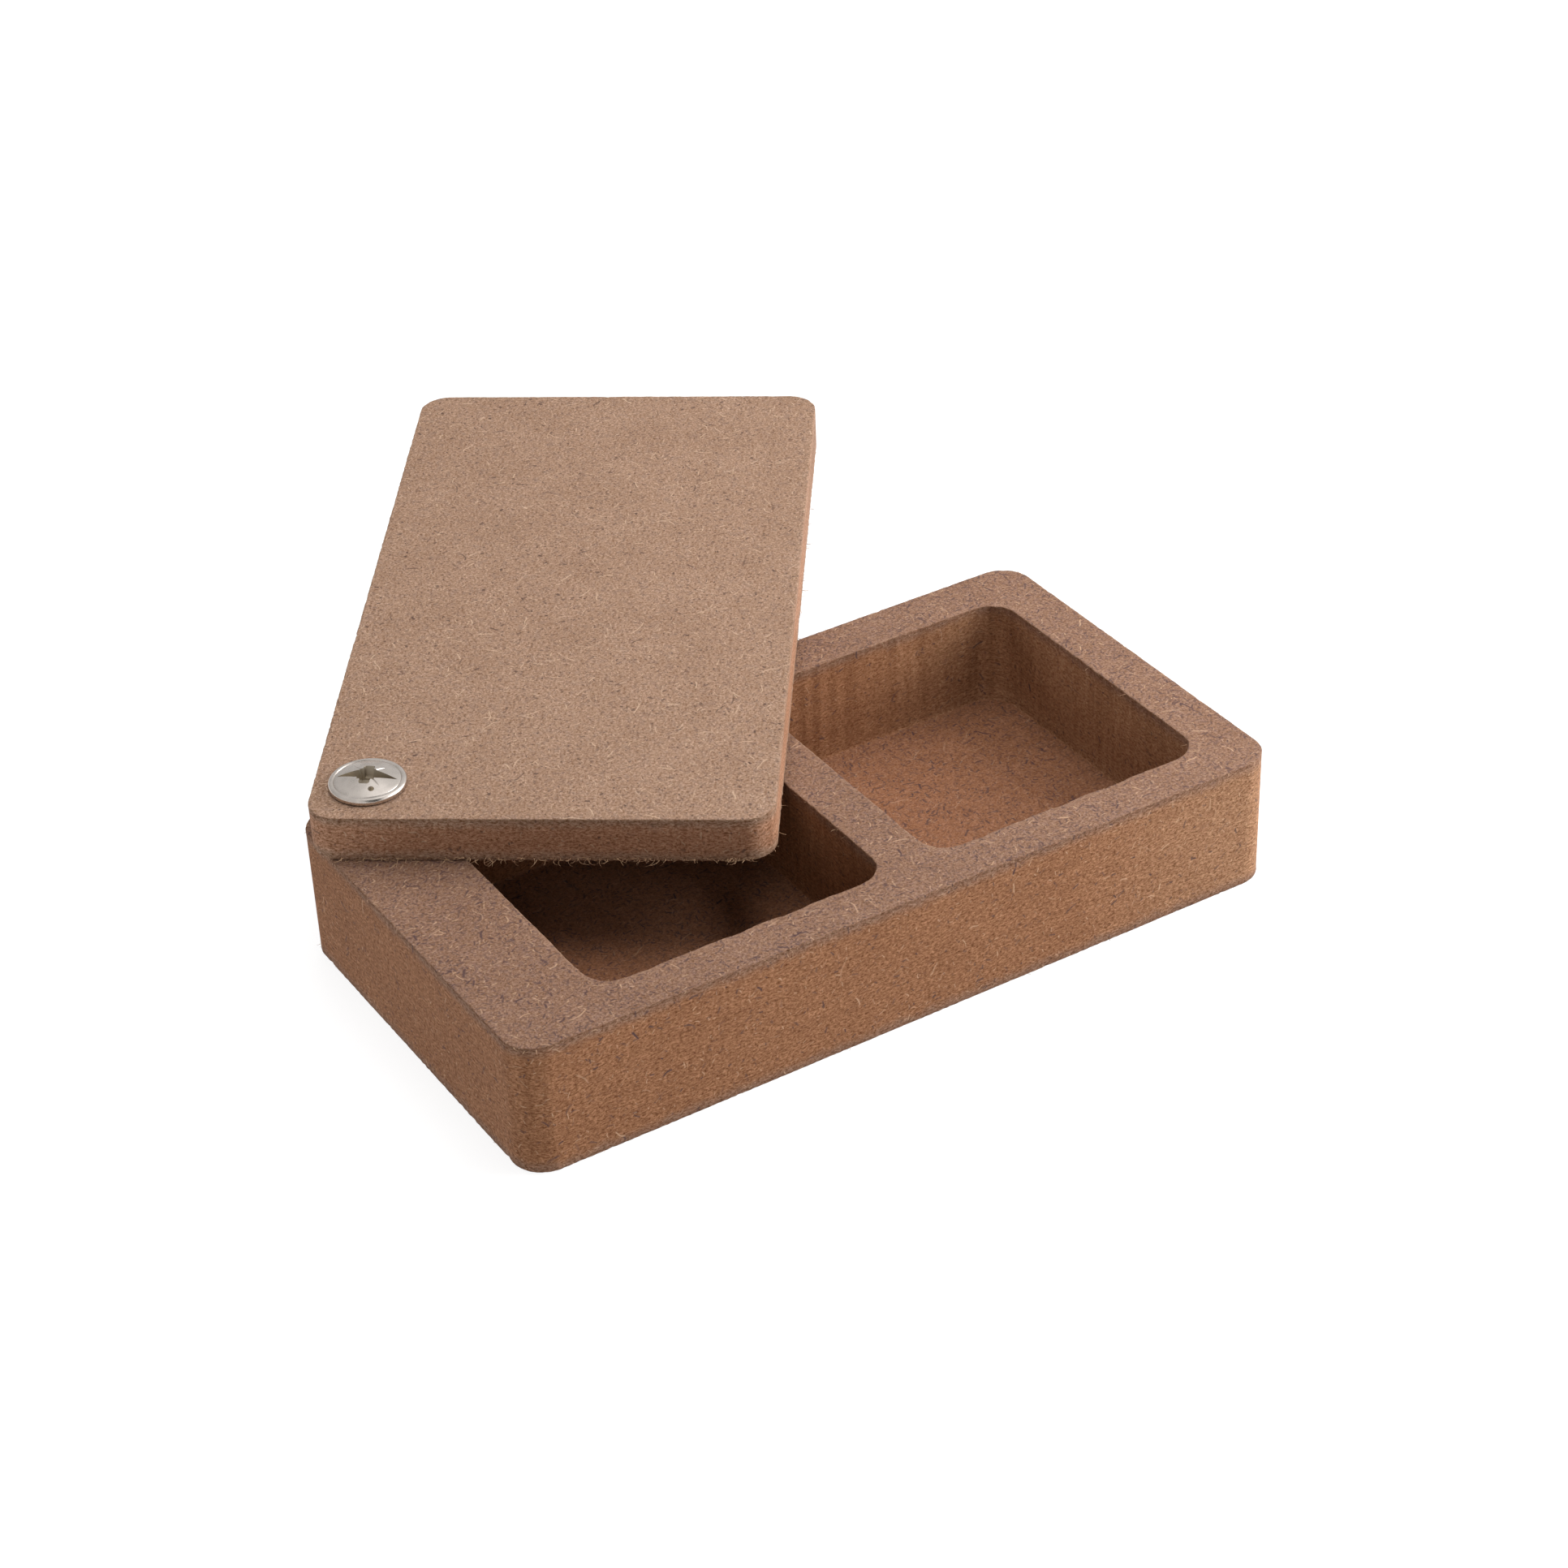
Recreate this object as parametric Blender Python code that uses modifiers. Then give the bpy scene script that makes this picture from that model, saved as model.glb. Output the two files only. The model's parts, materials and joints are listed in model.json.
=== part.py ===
"""A small fibreboard box with two milled pockets under a flat lid that swivels on one corner screw.

World frame: the origin is the centre of the box's underside, +X runs along its long side away from
the pivot, +Y towards its back side and +Z up. The lid is drawn swung open about the pivot.
"""

import math

import bmesh
import bpy
from mathutils import Matrix, Vector

MM = 0.001
RUNNING_GAP = 0.1 * MM  # between faces that slide or that are pressed together
CUT_EXTRA = 2.0 * MM  # how far a cutter runs past the face it enters

# The box is one block of 18 mm board, and the lid is one piece of 6 mm board.
BOX_LENGTH = 107.0 * MM
BOX_WIDTH = 57.2 * MM
BOX_HEIGHT = 18.0 * MM
BOX_CORNER = 4.2 * MM
LID_LENGTH = 107.3 * MM
LID_WIDTH = 56.4 * MM
LID_THICKNESS = 6.0 * MM
LID_CORNER = 4.0 * MM
LID_OPEN_ANGLE = math.radians(54.75)

# Two equal pockets side by side, with the corners that an 8 mm cutter leaves.
POCKET_LENGTH = 40.0 * MM
POCKET_WIDTH = 44.1 * MM
POCKET_DEPTH = 14.7 * MM
POCKET_CORNER = 4.0 * MM
END_WALL = 6.8 * MM
MIDDLE_WALL = 6.6 * MM
FRONT_WALL = 6.2 * MM

# The pivot hole, from the left end and the back side of the closed box and lid.
PIVOT_FROM_END = 7.4 * MM
PIVOT_FROM_BACK = 6.8 * MM
LID_PIVOT_FROM_END = 7.3 * MM
LID_PIVOT_FROM_BACK = 6.75 * MM

# M4 connecting screw and the sleeve nut that it closes against.
SCREW_RADIUS = 2.0 * MM
SCREW_LENGTH = 16.0 * MM
HEAD_RADIUS = 4.8 * MM
HEAD_RIM = 0.45 * MM
HEAD_RING_RADIUS = 4.0 * MM
HEAD_RING_HEIGHT = 0.8 * MM
HEAD_HEIGHT = 1.75 * MM
SLOT_ANGLE = math.radians(-39.5)
SLOT_LENGTH = 7.1 * MM
SLOT_WIDTH = 1.0 * MM
CROSS_LENGTH = 4.0 * MM
SCREW_SLOT_DEPTH = 1.1 * MM
NUT_SLOT_DEPTH = 0.8 * MM
SLEEVE_RADIUS = 2.5 * MM
SLEEVE_WALL = 0.4 * MM
SLEEVE_DEPTH = 17.5 * MM
NUT_HEAD_RADIUS = 4.8 * MM
NUT_HEAD_THICKNESS = 1.4 * MM
NUT_HOLE_RADIUS = 5.1 * MM
NUT_RECESS = 0.3 * MM  # how far the nut's head sits inside the underside

PIVOT = Vector((PIVOT_FROM_END - BOX_LENGTH / 2, BOX_WIDTH / 2 - PIVOT_FROM_BACK, 0.0))
LID_BOTTOM = BOX_HEIGHT + RUNNING_GAP
HEAD_BOTTOM = LID_BOTTOM + LID_THICKNESS + RUNNING_GAP
NUT_HEAD_TOP = NUT_RECESS + NUT_HEAD_THICKNESS
SLEEVE_TOP = HEAD_BOTTOM - RUNNING_GAP

CORNER_STEPS = 8
TURN_STEPS = 64
DOME_STEPS = 8


def linear(red, green, blue):
    """An sRGB colour, given in 0 to 255, as Blender's linear RGBA."""
    shares = (red / 255, green / 255, blue / 255)
    return (*(c / 12.92 if c <= 0.04045 else ((c + 0.055) / 1.055) ** 2.4 for c in shares), 1.0)


def make_material(name, colour, roughness, metallic=0.0):
    material = bpy.data.materials.new(name)
    material.use_nodes = True
    shader = material.node_tree.nodes["Principled BSDF"]
    shader.inputs["Base Color"].default_value = colour
    shader.inputs["Roughness"].default_value = roughness
    shader.inputs["Metallic"].default_value = metallic
    return material


def start_scene():
    """Clears the scene and returns the collections for the parts and for the cutters."""
    for obj in list(bpy.data.objects):
        bpy.data.objects.remove(obj, do_unlink=True)
    parts = bpy.data.collections.new("swivel_lid_box")
    cutters = bpy.data.collections.new("cutters")
    bpy.context.scene.collection.children.link(parts)
    bpy.context.scene.collection.children.link(cutters)
    return parts, cutters


def add_object(name, bm, collection):
    mesh = bpy.data.meshes.new(name)
    bm.to_mesh(mesh)
    bm.free()
    obj = bpy.data.objects.new(name, mesh)
    collection.objects.link(obj)
    return obj


def rounded_block(name, size, corner, centre, collection):
    """A box whose four upright edges are rounded, placed by its centre in the object's own space."""
    bm = bmesh.new()
    bmesh.ops.create_cube(bm, size=1.0)
    bmesh.ops.scale(bm, vec=size, verts=bm.verts)
    upright = [e for e in bm.edges if abs(e.verts[0].co.z - e.verts[1].co.z) > size[2] / 2]
    bmesh.ops.bevel(
        bm, geom=upright, offset=corner, segments=CORNER_STEPS, profile=0.5, affect="EDGES"
    )
    bmesh.ops.translate(bm, vec=centre, verts=bm.verts)
    return add_object(name, bm, collection)


def plain_block(name, size, centre, angle, collection):
    bm = bmesh.new()
    bmesh.ops.create_cube(bm, size=1.0)
    bmesh.ops.scale(bm, vec=size, verts=bm.verts)
    bmesh.ops.rotate(bm, cent=(0, 0, 0), matrix=Matrix.Rotation(angle, 3, "Z"), verts=bm.verts)
    bmesh.ops.translate(bm, vec=centre, verts=bm.verts)
    return add_object(name, bm, collection)


def drill(name, radius, bottom, top, collection):
    """An upright cylinder on the pivot's axis, from one height to another."""
    bm = bmesh.new()
    bmesh.ops.create_cone(
        bm, cap_ends=True, segments=TURN_STEPS, radius1=radius, radius2=radius, depth=top - bottom
    )
    bmesh.ops.translate(bm, vec=PIVOT + Vector((0, 0, (bottom + top) / 2)), verts=bm.verts)
    return add_object(name, bm, collection)


def turned(name, profile, collection):
    """A solid of revolution about its own Z axis. The profile runs down its outer side."""
    bm = bmesh.new()
    points = [bm.verts.new((radius, 0, height)) for radius, height in profile]
    for upper, lower in zip(points, points[1:]):
        bm.edges.new((upper, lower))
    obj = add_object(name, bm, collection)
    screw = obj.modifiers.new("Turn", "SCREW")
    screw.steps = screw.render_steps = TURN_STEPS
    screw.use_merge_vertices = True
    screw.merge_threshold = 0.00001
    return obj


def cut(obj, cutter):
    cutter.hide_render = True
    cutter.display_type = "WIRE"
    boolean = obj.modifiers.new(f"Cut {cutter.name}", "BOOLEAN")
    boolean.operation = "DIFFERENCE"
    boolean.solver = "EXACT"
    boolean.object = cutter


def make_box_body(parts, cutters, material):
    size = (BOX_LENGTH, BOX_WIDTH, BOX_HEIGHT)
    body = rounded_block("box_body", size, BOX_CORNER, (0, 0, BOX_HEIGHT / 2), parts)
    floor = BOX_HEIGHT - POCKET_DEPTH
    pocket_height = POCKET_DEPTH + CUT_EXTRA
    pocket_y = FRONT_WALL + POCKET_WIDTH / 2 - BOX_WIDTH / 2
    right_x = BOX_LENGTH / 2 - END_WALL - POCKET_LENGTH / 2
    left_x = right_x - POCKET_LENGTH - MIDDLE_WALL
    for name, pocket_x in (("left_pocket", left_x), ("right_pocket", right_x)):
        pocket = rounded_block(
            name,
            (POCKET_LENGTH, POCKET_WIDTH, pocket_height),
            POCKET_CORNER,
            (pocket_x, pocket_y, floor + pocket_height / 2),
            cutters,
        )
        cut(body, pocket)
    sleeve_hole = drill(
        "sleeve_hole", SLEEVE_RADIUS + RUNNING_GAP, -CUT_EXTRA, BOX_HEIGHT + CUT_EXTRA, cutters
    )
    nut_head_hole = drill(
        "nut_head_hole", NUT_HOLE_RADIUS, -CUT_EXTRA, NUT_HEAD_TOP + RUNNING_GAP, cutters
    )
    cut(body, sleeve_hole)
    cut(body, nut_head_hole)
    body.data.materials.append(material)
    return body


def make_lid(parts, cutters, material):
    """The lid's own origin is on the pivot's axis, so its rotation is the opening angle."""
    centre = (
        LID_LENGTH / 2 - LID_PIVOT_FROM_END,
        LID_PIVOT_FROM_BACK - LID_WIDTH / 2,
        LID_THICKNESS / 2,
    )
    size = (LID_LENGTH, LID_WIDTH, LID_THICKNESS)
    lid = rounded_block("lid", size, LID_CORNER, centre, parts)
    lid.location = PIVOT + Vector((0, 0, LID_BOTTOM))
    lid.rotation_euler.z = LID_OPEN_ANGLE
    bottom = LID_BOTTOM - CUT_EXTRA
    top = LID_BOTTOM + LID_THICKNESS + CUT_EXTRA
    cut(lid, drill("lid_hole", SLEEVE_RADIUS + RUNNING_GAP, bottom, top, cutters))
    lid.data.materials.append(material)
    return lid


def drive_recess(name, crown, outward, depth, cutters):
    """Cutters for a long slot crossed by a shorter one, sunk into a head whose crown is at this height.

    outward is 1 for a head that faces up, and -1 for one that faces down.
    """
    height = depth + CUT_EXTRA
    into_head = height / 2 - depth
    centre = PIVOT + Vector((0, 0, crown + into_head * outward))
    long_size = (SLOT_LENGTH, SLOT_WIDTH, height)
    cross_size = (SLOT_WIDTH, CROSS_LENGTH, height * 1.01)
    return (
        plain_block(f"{name}_slot", long_size, centre, SLOT_ANGLE, cutters),
        plain_block(f"{name}_cross", cross_size, centre, SLOT_ANGLE, cutters),
    )


def make_pivot_screw(parts, cutters, material):
    """One turned piece: a low dome inside a flat ring, a rounded rim, then the shank with its tip."""
    dome = [
        (
            HEAD_RING_RADIUS * math.sin(math.pi / 2 * i / DOME_STEPS),
            HEAD_RING_HEIGHT
            + (HEAD_HEIGHT - HEAD_RING_HEIGHT) * math.cos(math.pi / 2 * i / DOME_STEPS) ** 1.3,
        )
        for i in range(DOME_STEPS + 1)
    ]
    rim = [
        (HEAD_RADIUS - 0.25 * MM, HEAD_RING_HEIGHT - 0.05 * MM),
        (HEAD_RADIUS - 0.08 * MM, HEAD_RING_HEIGHT - 0.15 * MM),
        (HEAD_RADIUS, HEAD_RIM),
        (HEAD_RADIUS, 0.0),
    ]
    shank = [
        (SCREW_RADIUS, 0.0),
        (SCREW_RADIUS, 0.6 * MM - SCREW_LENGTH),
        (SCREW_RADIUS - 0.6 * MM, -SCREW_LENGTH),
        (0.0, -SCREW_LENGTH),
    ]
    screw = turned("pivot_screw", dome + rim + shank, parts)
    screw.location = PIVOT + Vector((0, 0, HEAD_BOTTOM))
    for cutter in drive_recess("screw", HEAD_BOTTOM + HEAD_HEIGHT, 1, SCREW_SLOT_DEPTH, cutters):
        cut(screw, cutter)
    screw.data.materials.append(material)
    return screw


def make_sleeve_nut(parts, cutters, material):
    """A flat head in the underside and a smooth sleeve that runs up through the box and the lid."""
    bore = SLEEVE_RADIUS - SLEEVE_WALL
    bore_end = SLEEVE_TOP - SLEEVE_DEPTH
    profile = [
        (0.0, bore_end),
        (bore, bore_end),
        (bore, SLEEVE_TOP),
        (SLEEVE_RADIUS, SLEEVE_TOP),
        (SLEEVE_RADIUS, NUT_HEAD_TOP),
        (NUT_HEAD_RADIUS, NUT_HEAD_TOP),
        (NUT_HEAD_RADIUS, NUT_RECESS + 0.3 * MM),
        (NUT_HEAD_RADIUS - 0.3 * MM, NUT_RECESS),
        (0.0, NUT_RECESS),
    ]
    nut = turned("sleeve_nut", profile, parts)
    nut.location = (PIVOT.x, PIVOT.y, 0.0)
    for cutter in drive_recess("nut", NUT_RECESS, -1, NUT_SLOT_DEPTH, cutters):
        cut(nut, cutter)
    nut.data.materials.append(material)
    return nut


def main():
    parts, cutters = start_scene()
    box_board = make_material("box_board", linear(158, 120, 95), 0.85)
    lid_board = make_material("lid_board", linear(172, 140, 118), 0.85)
    nickel = make_material("nickel", linear(205, 200, 192), 0.25, metallic=1.0)
    nut_nickel = make_material("nut_nickel", linear(195, 190, 182), 0.3, metallic=1.0)
    body = make_box_body(parts, cutters, box_board)
    lid = make_lid(parts, cutters, lid_board)
    screw = make_pivot_screw(parts, cutters, nickel)
    nut = make_sleeve_nut(parts, cutters, nut_nickel)
    for obj in (screw, nut, lid):
        obj.parent = body


main()
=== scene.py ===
"""Looks of the swivel-lid box: bare fibreboard with slightly torn milled edges, and nickel-plated fittings.

Sizes are in metres in the frame's own axes, and MM turns millimetres into them. A board's pattern is laid
out on its own faces in millimetres, through mesh attributes that Board writes.
"""

import json
import math
import random

import bmesh
import bpy
from mathutils import Matrix, Vector, geometry, noise


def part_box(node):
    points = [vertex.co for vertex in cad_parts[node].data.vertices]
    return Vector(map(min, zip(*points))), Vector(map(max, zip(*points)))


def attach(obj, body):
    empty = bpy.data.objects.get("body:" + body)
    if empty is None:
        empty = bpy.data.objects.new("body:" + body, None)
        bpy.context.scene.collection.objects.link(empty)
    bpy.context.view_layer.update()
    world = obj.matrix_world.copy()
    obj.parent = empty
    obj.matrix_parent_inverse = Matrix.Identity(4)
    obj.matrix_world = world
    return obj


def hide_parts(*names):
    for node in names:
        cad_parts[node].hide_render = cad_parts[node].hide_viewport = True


MM = 0.001

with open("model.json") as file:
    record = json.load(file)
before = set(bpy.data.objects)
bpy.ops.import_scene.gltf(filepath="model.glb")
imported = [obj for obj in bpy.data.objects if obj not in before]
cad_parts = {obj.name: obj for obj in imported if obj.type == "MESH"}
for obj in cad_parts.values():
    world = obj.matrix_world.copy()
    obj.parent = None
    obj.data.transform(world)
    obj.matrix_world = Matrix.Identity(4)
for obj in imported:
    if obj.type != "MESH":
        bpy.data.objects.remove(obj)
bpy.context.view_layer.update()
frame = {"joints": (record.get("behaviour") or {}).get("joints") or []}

# The lid is drawn closed in its own space, with the pivot at the origin, and then swung open.
LID_LENGTH = 107.3 * MM
LID_WIDTH = 56.4 * MM
LID_CORNER = 4.0 * MM
LID_PIVOT_FROM_END = 7.3 * MM
LID_PIVOT_FROM_BACK = 6.75 * MM
LID_OPEN_ANGLE = math.radians(54.75)

BOX_CORNER = 4.2 * MM
POCKET_SIZE = Vector((40.0, 44.1)) * MM
POCKET_CORNER = 4.0 * MM
POCKET_DEPTH = 14.7 * MM
END_WALL = 6.8 * MM
MIDDLE_WALL = 6.6 * MM
FRONT_WALL = 6.2 * MM
SLEEVE_HOLE = 2.6 * MM
NUT_HOLE = 5.1 * MM
NUT_HOLE_DEPTH = 1.8 * MM

SPACING = 0.3 * MM  # between the points along a board's edges
LEAST_BEND_STEPS = 6
HOLE_STEPS = 64
HOLE_CHAMFER = 0.15  # mm

# Each edge of a board, from its flat face to its cut side: (step back, drop, share of torn edge), in mm.
OUTER_EDGE = (
    (0.9, 0, 0), (0.4, 0, 0.2), (0.13, 0, 0.8), (0.04, 0.03, 1), (0, 0.1, 1), (0, 0.4, 0.5), (0, 1, 0),
)
POCKET_EDGE = (
    (0.8, 0, 0), (0.4, 0, 0.2), (0.12, 0, 0.8), (0.04, 0.03, 1), (0, 0.1, 1), (0, 0.4, 0.5), (0, 1, 0.1),
)
FLOOR_FILLET = ((0, 0.35), (-0.1, 0.1), (-0.35, 0), (-1.2, 0))  # (step back, height above the floor), in mm
MOST_TORN = 1.5
BOX_LOWER_TEAR = 1.2
LID_LOWER_TEAR = 2.0

# How deep an edge's wear goes, in mm: slow and fine waves, and tears where the noise passes a threshold.
SLOW_WEAR = 0.03
FINE_WEAR = 0.06
TEAR_DEPTH = 0.22
TEAR_THRESHOLD = 0.3
TEAR_LIFT = 0.03

# The cutter's ripple and a pocket wall's wander, in mm.
RIPPLE_RATE = 2.6  # radians to a millimetre
OUTER_RIPPLE = 0.008
POCKET_RIPPLE = 0.02
WANDER = 0.07
FRONT_WANDER = 0.13

box_low, box_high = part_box("box_body")
lid_low, lid_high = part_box("lid")
screw_low, screw_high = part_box("pivot_screw")
nut_low, nut_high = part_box("sleeve_nut")
BOX_SIZE = box_high - box_low
PIVOT = Vector((*frame["joints"][0]["pos_m"][:2], 0.0))
POCKET_Y = box_low.y + FRONT_WALL + POCKET_SIZE.y / 2


# ---------------------------------------------------------------- board meshes


class Outline:
    """Points round a rounded rectangle, counter-clockwise, from the middle of its back or front side.

    Each point is (place, outward normal, length along the outline so far, 1 on a bend or 0 on a side).
    """

    def __init__(self, centre, size, corner, seam_at_front=False):
        self.points = []
        half = Vector(size[:2]) / 2
        turn = -1 if seam_at_front else 1
        inner = half - Vector((corner, corner))
        sides = (
            ((0, half.y), (-inner.x, half.y)),
            ((-half.x, inner.y), (-half.x, -inner.y)),
            ((-inner.x, -half.y), (inner.x, -half.y)),
            ((half.x, -inner.y), (half.x, inner.y)),
            ((inner.x, half.y), (0, half.y)),
        )
        bend_centres = ((-inner.x, inner.y), (-inner.x, -inner.y), (inner.x, -inner.y), (inner.x, inner.y))
        spots = []
        for i, (start, end) in enumerate(sides):
            start, end = Vector(start), Vector(end)
            angle = math.radians(90 + 90 * i)
            normal = Vector((math.cos(angle), math.sin(angle)))
            count = max(1, round((end - start).length / SPACING))
            spots += [(start.lerp(end, k / count), normal, 0.0) for k in range(count)]
            if i == len(bend_centres):
                break
            count = max(LEAST_BEND_STEPS, round(corner * math.pi / 2 / SPACING))
            for k in range(count):
                angle = math.radians(90 + 90 * i + 90 * k / count)
                normal = Vector((math.cos(angle), math.sin(angle)))
                spots.append((Vector(bend_centres[i]) + normal * corner, normal, 1.0))
        along = 0.0
        for k, (place, normal, bent) in enumerate(spots):
            self.points.append((Vector(centre[:2]) + place * turn, normal * turn, along, bent))
            along += (spots[(k + 1) % len(spots)][0] - place).length
        self.length = along


class Ring(Outline):
    """Points round a circle, in the same form."""

    def __init__(self, centre, radius):
        self.points = []
        for k in range(HOLE_STEPS):
            angle = 2 * math.pi * k / HOLE_STEPS
            normal = Vector((math.cos(angle), math.sin(angle)))
            self.points.append((Vector(centre[:2]) + normal * radius, normal, angle * radius, 1.0))
        self.length = 2 * math.pi * radius


def torn(along, height, seed):
    """How far a milled edge is worn or torn back at one place, in millimetres."""
    slow = noise.noise(Vector((along * 0.2, height * 0.3, seed)))
    fine = noise.noise(Vector((along * 1.6, height * 1.1, seed + 5)))
    tear = max(0.0, noise.noise(Vector((along * 0.7, height * 0.4, seed + 11))) - TEAR_THRESHOLD)
    return SLOW_WEAR * slow + FINE_WEAR * fine + TEAR_DEPTH * tear


def chatter(along, seed, hollow, normal):
    """The cutter's ripple along a milled wall, in millimetres.

    A pocket's wall also wanders, mostly at its front.
    """
    strength = 0.5 + noise.noise(Vector((along * 0.05, seed, 3.0)))
    ripple = math.sin(along * RIPPLE_RATE + 2 * noise.noise(Vector((along * 0.3, seed, 7.0))))
    wander = noise.noise(Vector((along * 0.24, seed + 3, 1.0)))
    wander += 0.4 * noise.noise(Vector((along * 0.8, seed + 3, 4.0)))
    share = WANDER + FRONT_WANDER * max(0.0, -normal.y)
    return (OUTER_RIPPLE + POCKET_RIPPLE * hollow) * strength * ripple + share * hollow * wander


class Board:
    """A closed board mesh, built from lofted walls and flat faces.

    Its corner attributes are board (the place on the face in mm: across and up on a wall, X and Y on a
    sheet face), cut (1 on a wall, 1 on its rounded corners, 1 inside a pocket) and skin_depth (mm below
    the sheet's nearer face).
    """

    def __init__(self, bottom, top, seed):
        self.bm = bmesh.new()
        self.bottom, self.top, self.seed = bottom, top, seed
        self.place = self.bm.loops.layers.float_vector.new("board")
        self.cut = self.bm.loops.layers.float_vector.new("cut")
        self.depth = self.bm.loops.layers.float.new("skin_depth")

    def skin_depth(self, height):
        return max(0.0, min(height - self.bottom, self.top - height)) / MM

    def paint_flat(self, face, pocket):
        for loop in face.loops:
            loop[self.place] = Vector((loop.vert.co.x, loop.vert.co.y, 0.0)) / MM
            loop[self.cut] = Vector((0.0, 0.0, pocket))
            loop[self.depth] = self.skin_depth(loop.vert.co.z)

    def wall(self, outline, rings, hollow=0.0, rough=1.0):
        """Lofts rings of (step back from the outline, height, share of torn edge), in millimetres.

        hollow is 1 for the wall of a pocket or hole, where the board lies outside the outline. rough is
        0 for a wall without wear or ripple. Returns the first and the last ring.
        """
        side = -1 if hollow else 1
        rows = []
        for back, height, tearing in rings:
            row = []
            for place, normal, along, _ in outline.points:
                u = along / MM
                wear = tearing * torn(u, height, self.seed) + chatter(u, self.seed, hollow, normal)
                step = back + rough * wear
                spot = place - normal * side * step * MM
                lift = rough * tearing * TEAR_LIFT * noise.noise(Vector((u * 2.1, height, self.seed + 20)))
                row.append(self.bm.verts.new((spot.x, spot.y, (height + lift) * MM)))
            rows.append(row)
        count = len(outline.points)
        for k, (upper, lower) in enumerate(zip(rows, rows[1:])):
            flat = abs(rings[k][0] - rings[k + 1][0]) > abs(rings[k][1] - rings[k + 1][1])
            for i in range(count):
                j = (i + 1) % count
                face = self.bm.faces.new((upper[i], lower[i], lower[j], upper[j]))
                face.smooth = True
                if flat:
                    self.paint_flat(face, hollow)
                    continue
                here = outline.points[i][2] / MM
                there = (outline.points[j][2] if j else outline.length) / MM
                bent = max(outline.points[i][3], outline.points[j][3])
                for loop, u in zip(face.loops, (here, here, there, there)):
                    loop[self.place] = Vector((u, loop.vert.co.z / MM, 0.0))
                    loop[self.cut] = Vector((1.0, bent, hollow))
                    loop[self.depth] = self.skin_depth(loop.vert.co.z)
        return rows[0], rows[-1]

    def fill(self, rings, pocket=0.0):
        """Closes a flat face whose outline is the first ring, with a hole at each of the others."""
        verts = [vert for ring in rings for vert in ring]
        edges = []
        for ring in rings:
            start = len(edges)
            edges += [(start + i, start + (i + 1) % len(ring)) for i in range(len(ring))]
        owner = [k for k, ring in enumerate(rings) for _ in ring]
        made = geometry.delaunay_2d_cdt([vert.co.xy for vert in verts], edges, [], 1, 1e-9)
        for corners in made[2]:
            found = sorted(made[3][corner][0] for corner in corners)
            a, b, c = (verts[k].co.xy for k in found)
            in_hole = {owner[k] for k in found} == {owner[found[0]]} and owner[found[0]] > 0
            if in_hole and (b - a).cross(c - a) > 0:
                continue
            self.paint_flat(self.bm.faces.new([verts[k] for k in found]), pocket)

    def finish(self, name, material, matrix=None):
        bmesh.ops.recalc_face_normals(self.bm, faces=self.bm.faces)
        if matrix is not None:
            self.bm.transform(matrix)
        return add_mesh(name, self.bm, material)


def add_mesh(name, bm, material):
    mesh = bpy.data.meshes.new(name)
    bm.to_mesh(mesh)
    bm.free()
    if material is not None:
        mesh.materials.append(material)
    obj = bpy.data.objects.new(name, mesh)
    bpy.context.scene.collection.objects.link(obj)
    return obj


def outer_rings(bottom, top, lower_tear):
    """The outside of a board, from its top face to its bottom face: a small arris, then the cut side."""
    upper = [(back, top - drop, tearing) for back, drop, tearing in OUTER_EDGE]
    middle = [(0, bottom + (top - bottom) * share, 0) for share in (0.7, 0.5, 0.3)]
    lower = []
    for back, drop, tearing in reversed(OUTER_EDGE):
        lower.append((back, bottom + drop, min(MOST_TORN, tearing * lower_tear)))
    return upper + middle + lower


def pocket_rings(floor, top):
    """A pocket's wall, from the top face round the rim down to a small fillet at the floor."""
    rim = [(back, top - drop, tearing) for back, drop, tearing in POCKET_EDGE]
    wall = [(0, floor + (top - floor) * share, 0) for share in (0.75, 0.5, 0.25)]
    fillet = [(back, floor + rise, 0) for back, rise in FLOOR_FILLET]
    return rim + wall + fillet


def pocket_centres():
    right = box_high.x - END_WALL - POCKET_SIZE.x / 2
    return right - POCKET_SIZE.x - MIDDLE_WALL, right


def make_box_board(material):
    """The box: the outside, two pockets, and the stepped hole that holds the sleeve nut."""
    bottom, top = box_low.z / MM, box_high.z / MM
    board = Board(box_low.z, box_high.z, seed=1.0)
    outline = Outline((box_low + box_high) / 2, BOX_SIZE, BOX_CORNER)
    top_ring, bottom_ring = board.wall(outline, outer_rings(bottom, top, BOX_LOWER_TEAR))
    floor = top - POCKET_DEPTH / MM
    rims = []
    for x in pocket_centres():
        outline = Outline((x, POCKET_Y), POCKET_SIZE, POCKET_CORNER, seam_at_front=True)
        rim, floor_ring = board.wall(outline, pocket_rings(floor, top), hollow=1.0)
        rims.append(rim)
        board.fill([floor_ring], pocket=1.0)
    step_height = bottom + NUT_HOLE_DEPTH / MM
    hole = [(HOLE_CHAMFER, top, 0), (0, top - HOLE_CHAMFER, 0), (0, step_height, 0)]
    hole_rim, step_inner = board.wall(Ring(PIVOT, SLEEVE_HOLE), hole, hollow=1.0, rough=0.0)
    nut_hole = [(0, step_height, 0), (0, bottom + HOLE_CHAMFER, 0), (HOLE_CHAMFER, bottom, 0)]
    step_outer, nut_rim = board.wall(Ring(PIVOT, NUT_HOLE), nut_hole, hollow=1.0, rough=0.0)
    board.fill([step_inner, step_outer])
    board.fill([top_ring, hole_rim, *rims])
    board.fill([bottom_ring, nut_rim])
    return board.finish("milled_box", material)


def lid_matrix():
    """Carries the closed lid, with its pivot at the origin, to its place at rest."""
    return Matrix.Translation(PIVOT) @ Matrix.Rotation(LID_OPEN_ANGLE, 4, "Z")


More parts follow.
